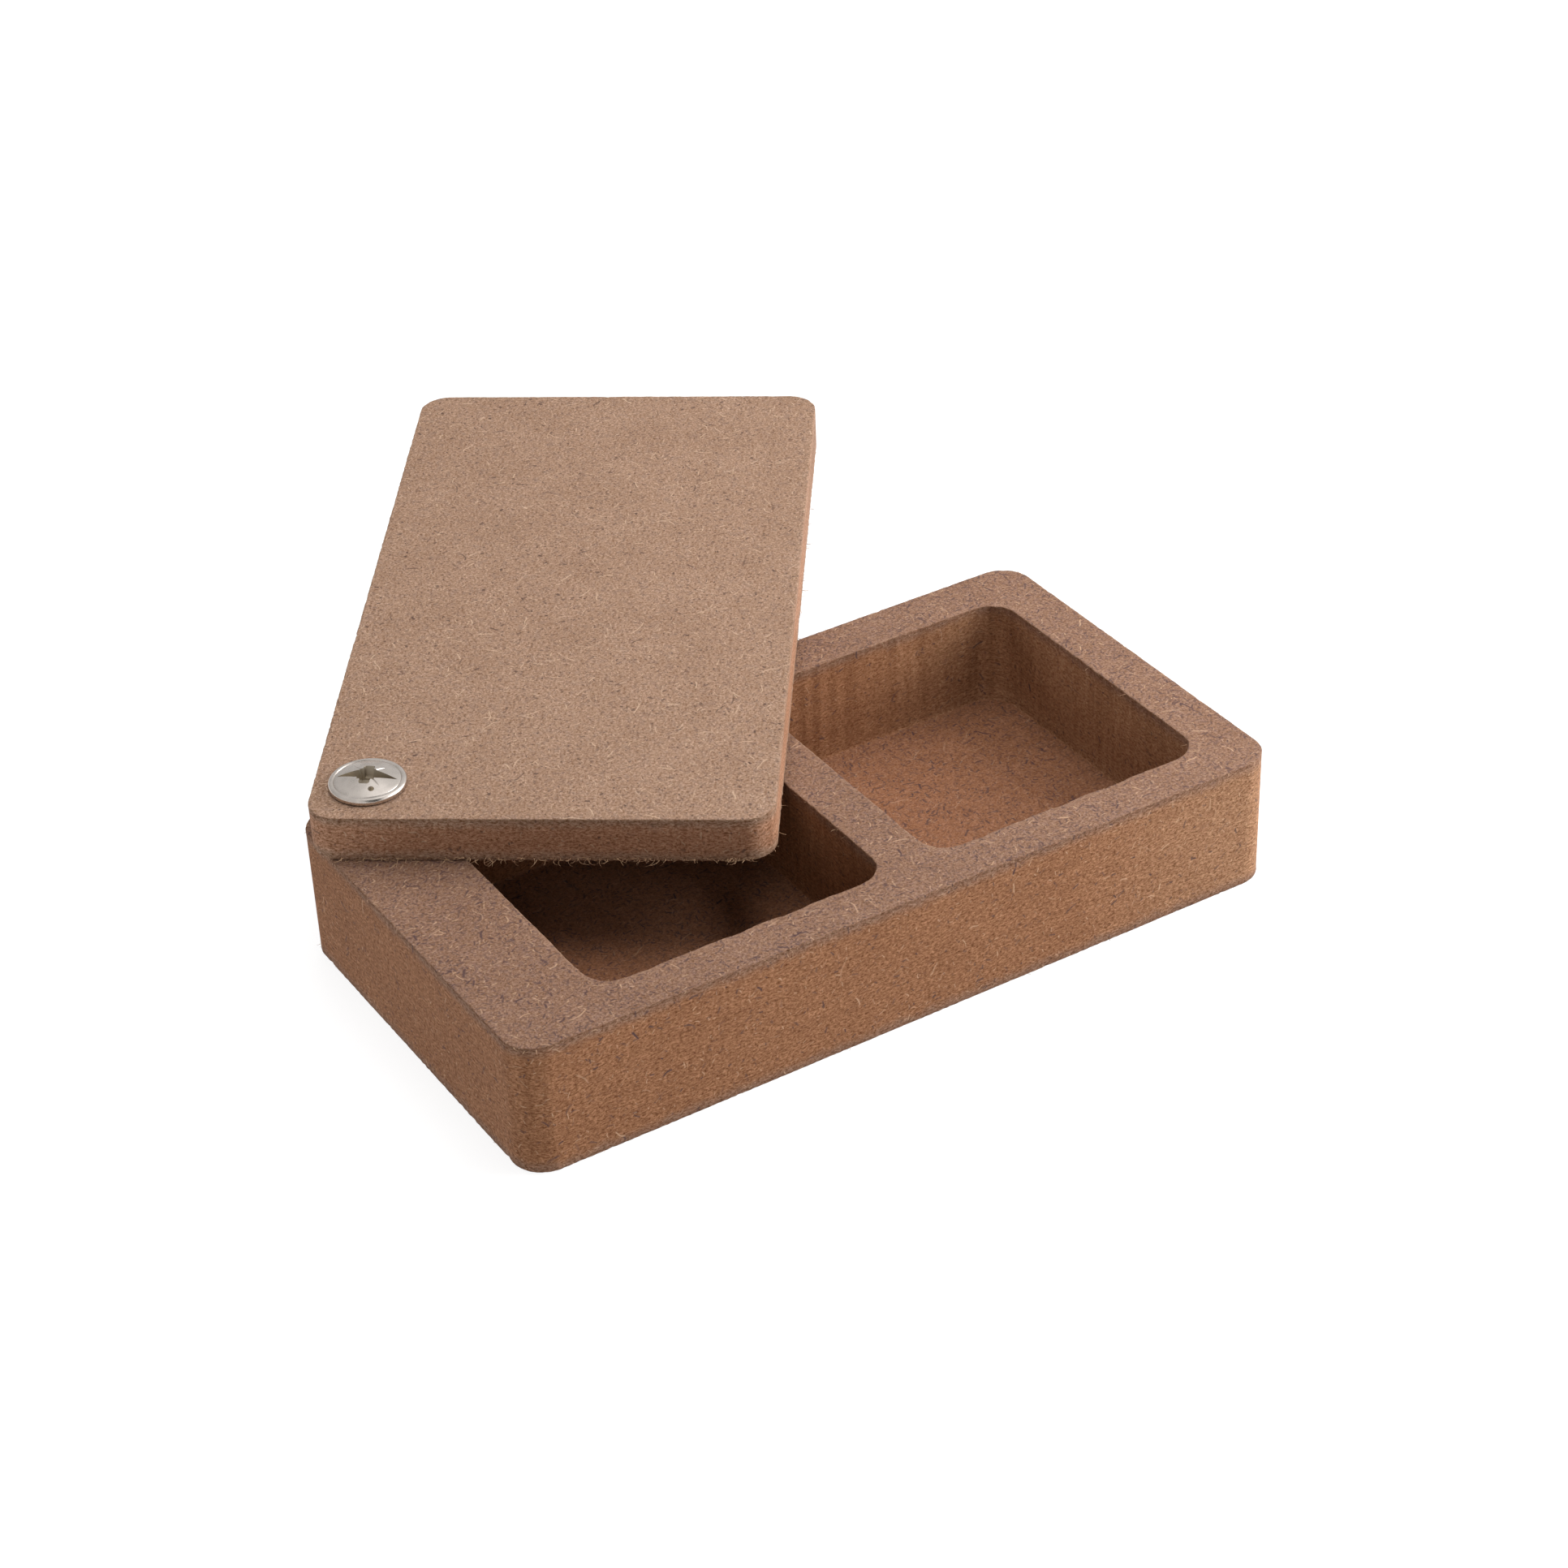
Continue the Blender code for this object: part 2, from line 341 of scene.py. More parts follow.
def lid_outline():
    centre = (LID_LENGTH / 2 - LID_PIVOT_FROM_END, LID_PIVOT_FROM_BACK - LID_WIDTH / 2)
    return Outline(centre, (LID_LENGTH, LID_WIDTH), LID_CORNER)


def make_lid_board(material):
    """The lid: the outside and the hole for the sleeve."""
    bottom, top = lid_low.z / MM, lid_high.z / MM
    board = Board(lid_low.z, lid_high.z, seed=40.0)
    top_ring, bottom_ring = board.wall(lid_outline(), outer_rings(bottom, top, LID_LOWER_TEAR))
    hole = [(HOLE_CHAMFER, top, 0), (0, top - HOLE_CHAMFER, 0)]
    hole += [(0, bottom + HOLE_CHAMFER, 0), (HOLE_CHAMFER, bottom, 0)]
    upper_rim, lower_rim = board.wall(Ring((0, 0), SLEEVE_HOLE), hole, hollow=1.0, rough=0.0)
    board.fill([top_ring, upper_rim])
    board.fill([bottom_ring, lower_rim])
    return board.finish("lid_board", material, lid_matrix())


# ---------------------------------------------------------------- loose fibres


STRAND_STEPS = 7
STRAND_SECTION = ((1, 0), (0, 1), (-1, 0), (0, -1))
STRAND_RADIUS = (0.025, 0.055)  # mm
STRAND_ROOT = 0.15  # how far a fibre starts inside the board, in mm
STRAND_TAPER = 0.7


def add_strand(bm, start, out, along, heights, longest, thickness, rng):
    """One curled fibre, as a thin closed tube that leaves a cut edge and stays between two heights."""
    length = rng.uniform(0.35, 1.0) ** 3 * longest
    radius = rng.uniform(*STRAND_RADIUS) * thickness * MM
    curl = rng.uniform(-2.4, 2.4)
    lift = rng.uniform(-0.5, 0.5) * length
    lean = rng.uniform(-1.2, 1.2)
    spot = start - out * STRAND_ROOT * MM
    rings = []
    for k in range(STRAND_STEPS + 1):
        share = k / STRAND_STEPS
        angle = lean + curl * share
        heading = out * max(0.15, math.cos(angle)) + along * math.sin(angle)
        spot = spot + heading * length / STRAND_STEPS
        height = min(max(start.z + lift * share, heights[0] + radius), heights[1] - radius)
        middle = Vector((spot.x, spot.y, height))
        side = along * math.cos(angle) - out * math.sin(angle)
        thin = radius * (1.0 - STRAND_TAPER * share)
        ring = []
        for a, b in STRAND_SECTION:
            ring.append(bm.verts.new(middle + side * thin * a + Vector((0, 0, thin * b))))
        rings.append(ring)
    for near, far in zip(rings, rings[1:]):
        for i in range(4):
            j = (i + 1) % 4
            bm.faces.new((near[i], near[j], far[j], far[i])).smooth = True
    bm.faces.new(rings[0])
    bm.faces.new(rings[-1])


def add_strands(bm, outline, count, heights, longest, rng, inward=1.0, thickness=1.0, matrix=None):
    """Scatters fibres along an outline, between two heights. inward is -1 for a pocket's rim."""
    for _ in range(count):
        place, normal, _, _ = rng.choice(outline.points)
        start = Vector((place.x, place.y, rng.uniform(*heights)))
        out = Vector((*normal, 0.0)) * inward
        along = Vector((-out.y, out.x, 0.0))
        if matrix is not None:
            start = matrix @ start
            out, along = matrix.to_3x3() @ out, matrix.to_3x3() @ along
        add_strand(bm, start, out, along, heights, longest, thickness, rng)


def make_lid_strands(material):
    """Torn fibres round the lid's lower edge, most of them along the end by the pivot."""
    rng = random.Random(5)
    bm = bmesh.new()
    outline = lid_outline()
    heights = (lid_low.z + 0.02 * MM, lid_low.z + 0.5 * MM)
    add_strands(bm, outline, 170, heights, 1.4 * MM, rng, matrix=lid_matrix())
    outline.points = [point for point in outline.points if point[1].x < -0.9]
    add_strands(bm, outline, 260, heights, 1.8 * MM, rng, matrix=lid_matrix())
    add_strands(bm, outline, 40, heights, 1.5 * MM, rng, thickness=2.0, matrix=lid_matrix())
    bmesh.ops.recalc_face_normals(bm, faces=bm.faces)
    return add_mesh("lid_strands", bm, material)


def make_box_strands(material):
    """Torn fibres along the box's lower and upper edges and round the pockets' rims."""
    rng = random.Random(9)
    bm = bmesh.new()
    outline = Outline((box_low + box_high) / 2, BOX_SIZE, BOX_CORNER)
    lower = (box_low.z + 0.05 * MM, box_low.z + 0.6 * MM)
    upper = (box_high.z - 0.5 * MM, box_high.z - 0.08 * MM)
    at_rim = (box_high.z - 0.5 * MM, box_high.z - 0.1 * MM)
    add_strands(bm, outline, 160, lower, 0.8 * MM, rng)
    add_strands(bm, outline, 70, upper, 1.0 * MM, rng)
    for x in pocket_centres():
        rim = Outline((x, POCKET_Y), POCKET_SIZE, POCKET_CORNER, seam_at_front=True)
        add_strands(bm, rim, 70, at_rim, 1.0 * MM, rng, inward=-1.0)
    bmesh.ops.recalc_face_normals(bm, faces=bm.faces)
    return add_mesh("box_strands", bm, material)


# ---------------------------------------------------------------- node helpers


SHADE_TINT = (0.82, 1.0, 1.2)  # how far each channel swings as fibreboard gets lighter or darker


class Graph:
    """Short calls for building a node tree."""

    def __init__(self, tree):
        self.tree = tree

    def node(self, kind, inputs=(), **settings):
        made = self.tree.nodes.new(kind)
        for name, value in settings.items():
            setattr(made, name, value)
        for socket, value in dict(inputs).items():
            self.feed(made.inputs[socket], value)
        return made

    def feed(self, socket, value):
        if isinstance(value, bpy.types.NodeSocket):
            self.tree.links.new(value, socket)
        else:
            socket.default_value = value

    def math(self, operation, a, b=0.0, c=0.0, clamp=False):
        inputs = {0: a, 1: b, 2: c}
        return self.node("ShaderNodeMath", inputs, operation=operation, use_clamp=clamp).outputs[0]

    def vector(self, operation, a, b=(0, 0, 0), c=(0, 0, 0)):
        return self.node("ShaderNodeVectorMath", {0: a, 1: b, 2: c}, operation=operation).outputs[0]

    def scale(self, vector, factor):
        return self.node("ShaderNodeVectorMath", {0: vector, 3: factor}, operation="SCALE").outputs[0]

    def dot(self, vector, direction):
        inputs = {0: vector, 1: direction}
        return self.node("ShaderNodeVectorMath", inputs, operation="DOT_PRODUCT").outputs["Value"]

    def attribute(self, name, output):
        return self.node("ShaderNodeAttribute", attribute_name=name).outputs[output]

    def place(self):
        return self.node("ShaderNodeTexCoord").outputs["Object"]

    def noise(self, vector, scale, detail=2.0, rough=0.5):
        inputs = {"Vector": vector, "Scale": scale, "Detail": detail, "Roughness": rough}
        return self.node("ShaderNodeTexNoise", inputs).outputs[0]

    def shade(self, colour, value, amount):
        """Makes a colour lighter and greyer, or darker and browner, by amount times (value - 0.5)."""
        swing = self.math("MULTIPLY", self.math("SUBTRACT", value, 0.5), amount)
        factors = self.vector("MULTIPLY_ADD", swing, SHADE_TINT, (1.0, 1.0, 1.0))
        return self.vector("MULTIPLY", colour, factors)

    def ramp(self, value, low, high, out_low=0.0, out_high=1.0):
        """A smooth step from one range to another."""
        inputs = {0: value, 1: low, 2: high, 3: out_low, 4: out_high}
        return self.node("ShaderNodeMapRange", inputs, interpolation_type="SMOOTHSTEP").outputs[0]

    def mix(self, share, a, b, blend="MIX"):
        made = self.node("ShaderNodeMix", data_type="RGBA", blend_type=blend)
        self.feed(made.inputs[0], share)
        self.feed(made.inputs[6], a)
        self.feed(made.inputs[7], b)
        return made.outputs[2]


def fibre_group():
    """A layer of thin bent fibres, one to a cell, each at its own angle. Lengths are in millimetres."""
    group = bpy.data.node_groups.new("fibres", "ShaderNodeTree")
    for name, kind in (
        ("Place", "NodeSocketVector"),
        ("Cell", "NodeSocketFloat"),
        ("Length", "NodeSocketFloat"),
        ("Width", "NodeSocketFloat"),
        ("Turn", "NodeSocketFloat"),
        ("Share", "NodeSocketFloat"),
        ("Seed", "NodeSocketFloat"),
    ):
        group.interface.new_socket(name, in_out="INPUT", socket_type=kind)
    group.interface.new_socket("Mask", in_out="OUTPUT", socket_type="NodeSocketFloat")
    g = Graph(group)
    given = g.node("NodeGroupInput").outputs
    offset = g.node("ShaderNodeCombineXYZ", {0: given["Seed"]}).outputs[0]
    scaled = g.scale(g.vector("ADD", given["Place"], offset), g.math("DIVIDE", 1.0, given["Cell"]))
    cells = g.node("ShaderNodeTexVoronoi", {"Vector": scaled, "Scale": 1.0}, voronoi_dimensions="2D")
    local = g.scale(g.vector("SUBTRACT", scaled, cells.outputs["Position"]), given["Cell"])
    chance = g.node("ShaderNodeSeparateColor", {0: cells.outputs["Color"]}).outputs
    angle = g.math("MULTIPLY", g.math("SUBTRACT", chance[0], 0.5), given["Turn"])
    turned = g.node("ShaderNodeVectorRotate", {"Vector": local, "Angle": angle}, rotation_type="Z_AXIS")
    parts = g.node("ShaderNodeSeparateXYZ", {0: turned.outputs[0]}).outputs

    # A fibre lies along its cell's own X, bent a little, and thins out at its sides and ends.
    bend = g.math("MULTIPLY", g.math("SUBTRACT", chance[1], 0.5), 1.2)
    bend = g.math("DIVIDE", bend, given["Length"])
    squared = g.math("MULTIPLY", parts[0], parts[0])
    across = g.math("ABSOLUTE", g.math("MULTIPLY_ADD", squared, bend, parts[1]))
    longest = g.math("MULTIPLY", given["Length"], g.math("MULTIPLY_ADD", chance[1], 0.35, 0.2))
    ends = g.ramp(g.math("DIVIDE", g.math("ABSOLUTE", parts[0]), longest), 1.0, 0.6)
    body = g.ramp(g.math("DIVIDE", across, given["Width"]), 0.75, 0.2)

    # Only a share of the cells hold a fibre, and some of those are fainter.
    chosen = g.math("LESS_THAN", chance[2], given["Share"])
    faintness = g.math("DIVIDE", chance[2], g.math("MAXIMUM", given["Share"], 0.001))
    vividness = g.math("SUBTRACT", 1.0, faintness, clamp=True)
    strength = g.math("MULTIPLY_ADD", g.math("POWER", vividness, 1.6), 0.85, 0.15)
    mask = g.math("MULTIPLY", g.math("MULTIPLY", ends, body), g.math("MULTIPLY", chosen, strength))
    g.node("NodeGroupOutput", {"Mask": mask})
    return group


FIBRES = fibre_group()


def start_material(name):
    material = bpy.data.materials.new(name)
    material.use_nodes = True
    tree = material.node_tree
    tree.nodes.clear()
    g = Graph(tree)
    shader = g.node("ShaderNodeBsdfPrincipled")
    g.node("ShaderNodeOutputMaterial", {"Surface": shader.outputs[0]})
    return material, g, shader


# Colours are linear. A row of fibres is (cell, length, width) in mm, then its share of filled cells on a
# sheet face and on a cut. speckle is a sheet face's share of dark specks, and grain its fine grain.
BOX_LOOK = {
    "skin": (0.19, 0.108, 0.070, 1.0),
    "core": (0.225, 0.103, 0.049, 1.0),
    "far_end_painted_shading": (0.255, 0.133, 0.070, 1.0),
    # painted light: the box's cut sides turn lighter towards its right end
    "floor": (0.22, 0.1, 0.052, 1.0),
    "ruddy": (0.15, 0.056, 0.026, 1.0),
    "light": (0.46, 0.30, 0.19, 1.0),
    "dark": (0.06, 0.034, 0.034, 1.0),
    "light_fibres": ((2.2, 1.6, 0.15, 0.4, 0.15), (1.1, 0.8, 0.13, 0.5, 0.4), (4.2, 3.0, 0.18, 0.45, 0.1)),
    "dark_fibres": ((0.65, 0.8, 0.2, 0.95, 0.12), (1.2, 1.4, 0.25, 0.9, 0.12), (2.6, 2.2, 0.26, 0.8, 0.08)),
    "speckle": 0.32,
    "grain": 3.8,
}
LID_LOOK = {
    "skin": (0.25, 0.157, 0.106, 1.0),
    "core": (0.29, 0.148, 0.086, 1.0),
    # painted shade: the lid's cut sides turn darker towards its far end
    "far_end_painted_shading": (0.18, 0.104, 0.066, 1.0),
    "floor": (0.255, 0.118, 0.064, 1.0),
    "ruddy": (0.18, 0.083, 0.045, 1.0),
    "light": (0.46, 0.33, 0.23, 1.0),
    "dark": (0.065, 0.036, 0.028, 1.0),
    "light_fibres": ((2.1, 1.8, 0.15, 0.45, 0.15), (1.1, 0.9, 0.13, 0.4, 0.35), (4.2, 3.4, 0.18, 0.5, 0.1)),
    "dark_fibres": ((0.8, 0.5, 0.2, 0.65, 0.15), (2.0, 0.8, 0.34, 0.6, 0.2), (4.5, 2.6, 0.2, 0.5, 0.08)),
    "speckle": 0.36,
    "grain": 3.9,
}
# The span where the cut core's colour drifts: painted light at the box's right end, painted shade at the
# lid's far end.
FAR_END_SHADING_SPAN = (20 * MM, 50 * MM)  # where along X the core turns to the colour far_end_painted_shading


class BoardPaint:
    """The layers of a fibreboard's colour, each laid over the last."""

    def __init__(self, graph, look):
        self.g, self.look = graph, look
        g = graph
        self.place = g.attribute("board", "Vector")
        self.depth = g.attribute("skin_depth", "Fac")
        cut = g.node("ShaderNodeSeparateXYZ", {0: g.attribute("cut", "Vector")}).outputs
        self.wall, self.bent, self.pocket = cut[:3]

        # Warping the pattern keeps the fibres from looking ruled.
        drift = g.node("ShaderNodeTexNoise", {"Vector": self.place, "Scale": 0.7, "Detail": 1.0})
        drift = g.vector("SUBTRACT", drift.outputs["Color"], (0.5, 0.5, 0.5))
        self.warped = g.vector("MULTIPLY_ADD", drift, (0.6, 0.6, 0.0), self.place)

        # The grain lies every way on a sheet face, and mostly level on a cut.
        stretch = g.node("ShaderNodeCombineXYZ")
        g.feed(stretch.inputs[0], self.on_walls(1.0, 0.65))
        g.feed(stretch.inputs[1], self.on_walls(1.0, 1.25))
        self.laid = g.vector("MULTIPLY", self.warped, stretch.outputs[0])
        self.grain = g.noise(self.laid, 3.1, 4.0, 0.8)

    def on_walls(self, sheet, wall):
        """One value on sheet faces and another on cut sides."""
        return self.g.math("MULTIPLY_ADD", self.wall, wall - sheet, sheet)

    def in_pockets(self, outside, inside):
        return self.g.math("MULTIPLY_ADD", self.pocket, inside - outside, outside)

    def ground(self):
        """The pressed skin, and the core below it where the board is cut, with painted light and shade
        along X.
        """
        g, look = self.g, self.look
        ragged = g.math("MULTIPLY_ADD", g.noise(self.place, 0.5, 3.0), 1.6, -0.8)
        length_wise = g.node("ShaderNodeSeparateXYZ", {0: g.place()}).outputs[0]
        # Painted light and shade: the core drifts lighter towards the box's right end and darker towards
        # the lid's far end.
        core = g.mix(g.ramp(length_wise, *FAR_END_SHADING_SPAN), look["core"], look["far_end_painted_shading"])
        inner = g.mix(self.wall, look["floor"], core)
        base = g.mix(g.ramp(g.math("ADD", self.depth, ragged), 0.2, 1.9), look["skin"], inner)
        burnish = g.ramp(self.depth, 0.05, 0.9, -0.22, 0.0)
        return g.shade(base, g.math("MULTIPLY_ADD", burnish, self.wall, 0.5), 1.0)

    def mottle(self, base):
        """Broad mottling, then soft layers and the cutter's upright bands on the cut sides."""
        g = self.g
        base = g.shade(base, g.noise(self.place, 0.12, 3.0), 0.35)
        layers = g.noise(g.vector("MULTIPLY", self.place, (0.05, 0.9, 1.0)), 1.0, 3.0)
        base = g.shade(base, layers, g.math("MULTIPLY", self.wall, 0.35))
        bands = g.noise(g.vector("MULTIPLY", self.place, (0.75, 0.03, 1.0)), 1.0, 1.0)
        strength = g.math("MULTIPLY_ADD", g.math("MAXIMUM", self.bent, self.pocket), 0.5, 0.15)
        return g.shade(base, bands, g.math("MULTIPLY", self.wall, strength))

    def grit(self, base):
        """Dark specks on the sheet faces, ruddy tufts, soft clumps and the fine grain."""
        g, look, laid = self.g, self.look, self.laid
        clumps = g.noise(laid, 0.8, 3.0, 0.6)
        tufts = g.noise(g.vector("ADD", laid, (23.0, 51.0, 0.0)), 1.3, 4.0, 0.75)
        specks = g.noise(g.vector("ADD", laid, (71.0, 13.0, 0.0)), 2.0, 3.0, 0.7)
        clumped = g.math("ADD", specks, g.math("MULTIPLY", g.math("SUBTRACT", clumps, 0.5), 1.2))
        share = g.math("MULTIPLY", g.ramp(clumped, 0.48, 0.68), self.on_walls(look["speckle"], 0.0))
        share = g.math("MULTIPLY", share, self.in_pockets(1.0, 0.25))
        base = g.mix(share, base, look["dark"])
        ruddy_share = g.math("MULTIPLY", g.ramp(tufts, 0.42, 0.62), self.on_walls(0.12, 0.32))
        base = g.mix(ruddy_share, base, look["ruddy"])
        base = g.shade(base, clumps, self.on_walls(0.9, 0.5))
        strength = self.on_walls(look["grain"], look["grain"] + 1.2)
        return g.shade(base, self.grain, g.math("MULTIPLY", strength, self.in_pockets(1.0, 0.8)))

    def fibre_masks(self, rows, first_seed):
        g = self.g
        turn = self.on_walls(6.3, 3.1)
        masks = []
        for k, (cell, length, width, sheet_share, cut_share) in enumerate(rows):
            layer = g.node("ShaderNodeGroup", node_tree=FIBRES)
            for socket, value in (
                ("Place", self.warped),
                ("Cell", cell),
                ("Length", length),
                ("Width", width),
                ("Turn", turn),
                ("Share", self.on_walls(sheet_share, cut_share)),
                ("Seed", first_seed + 37.0 * k),
            ):
                g.feed(layer.inputs[socket], value)
            masks.append(layer.outputs[0])
        return masks


def make_board_material(name, look):
    """Bare fibreboard: a pressed skin with loose fibres, and a warmer core where it is cut."""
    material, g, shader = start_material(name)
    paint = BoardPaint(g, look)
    base = paint.grit(paint.mottle(paint.ground()))
    light_masks = paint.fibre_masks(look["light_fibres"], 37.0)
    dark_masks = paint.fibre_masks(look["dark_fibres"], 537.0)
    patches = g.ramp(g.noise(paint.place, 0.22, 2.0), 0.3, 0.65, 0.55, 1.0)
    for mask in dark_masks:
        base = g.mix(g.math("MULTIPLY", mask, patches), base, look["dark"])
    light_share = paint.in_pockets(0.65, 0.3)
    for mask in light_masks:
        base = g.mix(g.math("MULTIPLY", mask, light_share), base, look["light"])
    g.feed(shader.inputs["Base Color"], base)

    g.feed(shader.inputs["Roughness"], g.ramp(paint.grain, 0.2, 0.8, 0.95, 0.75))
    shader.inputs["Specular IOR Level"].default_value = 0.2
    raised = g.math("ADD", light_masks[0], light_masks[1])
    height = g.math("MULTIPLY_ADD", raised, 0.5, paint.grain)
    bump = g.node("ShaderNodeBump", {"Height": height, "Strength": 0.5, "Distance": 0.1 * MM})
    g.feed(shader.inputs["Normal"], bump.outputs[0])
    return material


PALE_FIBRE = (0.5, 0.32, 0.19, 1.0)
BROWN_FIBRE = (0.26, 0.14, 0.08, 1.0)
SMEAR_SCALE = 900.0  # to a metre
PIT_SCALE = 6000.0


def make_fibre_material():
    """Loose fibres: pale straw to brown, each a little different along its length."""
    material, g, shader = start_material("loose_fibre")
    tone = g.noise(g.place(), SMEAR_SCALE, 2.0)
    g.feed(shader.inputs["Base Color"], g.mix(g.ramp(tone, 0.35, 0.65), BROWN_FIBRE, PALE_FIBRE))
    shader.inputs["Roughness"].default_value = 0.8
    return material


def make_nickel(name, colour, roughness):
    """Nickel plating: bright, slightly uneven, with faint smears and finer pits."""
    material, g, shader = start_material(name)
    place = g.place()
    smear = g.noise(place, SMEAR_SCALE, 3.0)
    pits = g.noise(place, PIT_SCALE, 2.0)
    tint = tuple(c * 0.86 for c in colour[:3]) + (1.0,)
    g.feed(shader.inputs["Base Color"], g.mix(g.ramp(smear, 0.35, 0.75), colour, tint))
    shader.inputs["Metallic"].default_value = 1.0
    g.feed(shader.inputs["Roughness"], g.ramp(smear, 0.3, 0.7, roughness, roughness + 0.1))
    bump = g.node("ShaderNodeBump", {"Height": pits, "Strength": 0.02, "Distance": 0.02 * MM})
    g.feed(shader.inputs["Normal"], bump.outputs[0])
    return material


# ---------------------------------------------------------------- fittings

TURN_STEPS = 128
HEAD_RADIUS = 4.8 * MM
HEAD_RING = 4.0 * MM  # where the dome ends and the ring's groove begins
HEAD_RING_HEIGHT = 0.8 * MM
HEAD_BASE = 0.1 * MM  # above the lid
RIM_ROLL = 0.44  # the rim's radius, in mm
RIM_STEPS = 8
DOME_STEPS = 20
DIMPLE = Vector((-0.85, -2.72, 0.0)) * MM
DIMPLE_RINGS = ((0.4, 0.2), (0.34, -0.3), (0.2, -0.55))  # (radius, height), in mm
SLOT_ANGLE = math.radians(-39.5)
SHARP_ANGLE = 28  # degrees
THREAD_SHARP_ANGLE = 40
SCREW_RADIUS = 2.0 * MM
SLEEVE_RADIUS = 2.5 * MM
SLEEVE_BORE = 2.1 * MM
THREAD_PITCH = 0.7 * MM
THREAD_DEPTH = 0.38 * MM
THREAD_ROWS = 8  # to a turn
THREAD_SIDES = 48
SHANK_TIP = 0.8 * MM  # the length over which the shank narrows at its end
TIP_SHARE = 0.65
BORE_DEPTH = 17.5 * MM
NUT_SLOT = (3.7, 0.5, 0.8)  # half its length, half its width and its depth, in mm


def turned(name, profile, centre, material):
    """A closed solid of revolution about an upright axis. The profile runs down its outside."""
    bm = bmesh.new()
    rows = []
    for radius, height in profile:
        if radius == 0:
            rows.append([bm.verts.new((centre.x, centre.y, height))] * TURN_STEPS)
            continue
        row = []
        for k in range(TURN_STEPS):
            angle = 2 * math.pi * k / TURN_STEPS
            spot = (centre.x + radius * math.cos(angle), centre.y + radius * math.sin(angle), height)
            row.append(bm.verts.new(spot))
        rows.append(row)
    for upper, lower in zip(rows, rows[1:]):
        for i in range(TURN_STEPS):
            j = (i + 1) % TURN_STEPS
            corners = list(dict.fromkeys((upper[i], lower[i], lower[j], upper[j])))
            bm.faces.new(corners)
    bmesh.ops.recalc_face_normals(bm, faces=bm.faces)
    return add_mesh(name, bm, material)


def hull(name, points, matrix, material=None):
    """A convex cutter round some points, given in mm. The faces that it cuts take its material."""
    bm = bmesh.new()
    verts = [bm.verts.new(matrix @ (Vector(point) * MM)) for point in points]
    bmesh.ops.convex_hull(bm, input=verts)
    bmesh.ops.recalc_face_normals(bm, faces=bm.faces)
    return add_mesh(name, bm, material)


def carve(obj, cutters):
    """Cuts the cutters out of the object, removes them and shades it smooth between sharp edges."""
    for cutter in cutters:
        boolean = obj.modifiers.new("cut", "BOOLEAN")
        boolean.operation = "DIFFERENCE"
        boolean.solver = "EXACT"
        boolean.material_mode = "TRANSFER"
        boolean.object = cutter
    depsgraph = bpy.context.evaluated_depsgraph_get()
    mesh = bpy.data.meshes.new_from_object(obj.evaluated_get(depsgraph))
    obj.modifiers.clear()
    obj.data = mesh
    for cutter in cutters:
        bpy.data.objects.remove(cutter, do_unlink=True)
    smooth_between(obj, SHARP_ANGLE)


def smooth_between(obj, degrees):
    """Shades a mesh smooth, and keeps the edges sharp that bend by more than some degrees."""
    obj.data.shade_smooth()
    obj.data.set_sharp_from_angle(angle=math.radians(degrees))


def dome_drop(radius):
    """How far the head's dome has dropped below its crown at a radius, as a share of its rise."""
    return (radius / HEAD_RING) ** 1.4


def drive_cutters(name, crown, rise, material):
    """A combination drive: two long arms that thin to points, two short arms, and four scribed ticks."""
    matrix = Matrix.Translation((PIVOT.x, PIVOT.y, crown)) @ Matrix.Rotation(SLOT_ANGLE, 4, "Z")

    def mirrored(x, y, z):
        return [Vector((sx * x, sy * y, z)) for sx in (1, -1) for sy in (1, -1)]

    long_arms = mirrored(3.75, 0.03, 0.3) + mirrored(3.7, 0.03, -0.82)
    long_arms += mirrored(1.3, 0.85, 0.3) + mirrored(1.2, 0.5, -1.45)
    short_arms = mirrored(0.75, 1.75, 0.3) + mirrored(0.5, 2.15, 0.3) + mirrored(0.5, 1.5, -1.45)
    core = mirrored(1.2, 1.2, 0.3) + mirrored(0.75, 0.75, -1.6)
    cutters = [
        hull(f"{name}_long", long_arms, matrix, material),
        hull(f"{name}_short", short_arms, matrix, material),
        hull(f"{name}_core", core, matrix, material),
    ]
    near, far = (-dome_drop(radius * MM) * rise / MM for radius in (1.3, 2.7))
    tick = [(1.3, -0.22, near + 0.1), (1.3, 0.22, near + 0.1), (2.8, 0, far + 0.05)]
    tick += [(1.3, 0, near - 0.12), (2.7, 0, far - 0.02)]
    for k in range(4):
        spin = Matrix.Rotation(math.radians(45 + 90 * k), 4, "Z")
        cutters.append(hull(f"{name}_tick{k}", tick, matrix @ spin))
    return cutters


